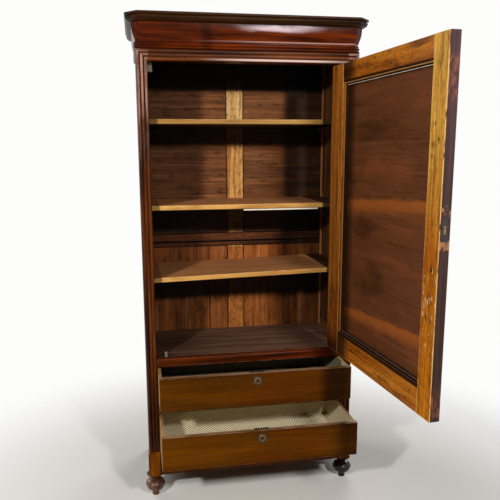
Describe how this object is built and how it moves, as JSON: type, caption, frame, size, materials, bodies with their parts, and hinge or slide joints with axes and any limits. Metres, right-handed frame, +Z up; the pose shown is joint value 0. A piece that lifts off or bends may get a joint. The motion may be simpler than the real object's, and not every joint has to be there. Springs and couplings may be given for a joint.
{
  "type": "wardrobe cabinet",
  "caption": "Tall narrow mahogany cupboard with a framed door, loose shelves, lined drawers below and a canted cornice on turned feet.",
  "frame": {"origin": "on the floor, under the middle of the box that the open cupboard fills", "axes": "+X to the cupboard's right as one faces it, +Y into the cupboard, +Z up"},
  "size_m": [0.976, 1.2578, 2.006],
  "materials": {
    "polished_mahogany": "french polish",
    "dark_mahogany": "dark polish",
    "honey_pine": "waxed",
    "banded_panel": "stained",
    "shelf_pine": "bare",
    "back_frame_wood": "bare",
    "back_panel_wood": "bare",
    "drawer_wood": "bare",
    "printed_paper": "printed check",
    "white_lath": "painted",
    "aged_brass": "tarnished",
    "dark_iron": "oiled"
  },
  "bodies": {
    "carcass": {"back_lower_boards": "back_panel_wood", "back_muntins": "back_frame_wood", "back_rails": "back_frame_wood", "back_upper_panels": "back_panel_wood", "cornice_cap": "dark_mahogany", "cupboard_floor": "dark_mahogany", "divider_rail": "polished_mahogany", "door_stop_block": "shelf_pine", "door_stop_peg": "shelf_pine", "drawer_guides": "drawer_wood", "drawer_runners": "drawer_wood", "frieze_front": "polished_mahogany", "frieze_returns": "polished_mahogany", "front_feet": "polished_mahogany", "front_left_post": "polished_mahogany", "front_right_post": "polished_mahogany", "hinge_post_halves": "dark_iron", "lock_keeper": "aged_brass", "lower_shelf": "shelf_pine", "middle_shelf": "shelf_pine", "plinth_blocks": "polished_mahogany", "plinth_rail": "polished_mahogany", "rear_posts": "dark_mahogany", "shelf_cleats": "shelf_pine", "shelf_lath": "white_lath", "side_panels": "polished_mahogany", "side_rails": "polished_mahogany", "sill_rail": "polished_mahogany", "top_board": "polished_mahogany", "top_rail": "polished_mahogany", "upper_shelf": "shelf_pine"},
    "door": {"door_bottom_rail": "honey_pine", "door_escutcheon": "aged_brass", "door_front_moulding": "polished_mahogany", "door_hinge_stile": "honey_pine", "door_inner_beads": "honey_pine", "door_lock": "dark_iron", "door_lock_stile": "honey_pine", "door_panel": "banded_panel", "door_top_rail": "honey_pine", "hinge_door_halves": "dark_iron"},
    "door_bolt_body": {"door_bolt": "aged_brass"},
    "upper_drawer": {"upper_drawer_back": "drawer_wood", "upper_drawer_bottom": "drawer_wood", "upper_drawer_escutcheon": "aged_brass", "upper_drawer_front": "polished_mahogany", "upper_drawer_lining": "printed_paper", "upper_drawer_lock": "dark_iron", "upper_drawer_sides": "drawer_wood"},
    "upper_bolt_body": {"upper_drawer_bolt": "aged_brass"},
    "lower_drawer": {"lower_drawer_back": "drawer_wood", "lower_drawer_bottom": "drawer_wood", "lower_drawer_escutcheon": "aged_brass", "lower_drawer_front": "polished_mahogany", "lower_drawer_lining": "printed_paper", "lower_drawer_lock": "dark_iron", "lower_drawer_sides": "drawer_wood"},
    "lower_bolt_body": {"lower_drawer_bolt": "aged_brass"}
  },
  "joints": [
    {"name": "door_hinge", "type": "hinge", "parent": "carcass", "child": "door", "pos_m": [0.4, 0.17588, 1.234], "axis": [0, 0, 1], "range_deg": [-95.6, 65]},
    {"name": "door_bolt_slide", "type": "slide", "parent": "door", "child": "door_bolt_body", "axis": [0.0976, -0.9952, 0], "range_m": [0, 0.012]},
    {"name": "upper_drawer_slide", "type": "slide", "parent": "carcass", "child": "upper_drawer", "axis": [0, -1, 0], "range_m": [-0.137, 0.17]},
    {"name": "upper_bolt_slide", "type": "slide", "parent": "upper_drawer", "child": "upper_bolt_body", "axis": [0, 0, 1], "range_m": [0, 0.008]},
    {"name": "lower_drawer_slide", "type": "slide", "parent": "carcass", "child": "lower_drawer", "axis": [0, -1, 0], "range_m": [-0.229, 0.078]},
    {"name": "lower_bolt_slide", "type": "slide", "parent": "lower_drawer", "child": "lower_bolt_body", "axis": [0, 0, 1], "range_m": [0, 0.008]}
  ]
}
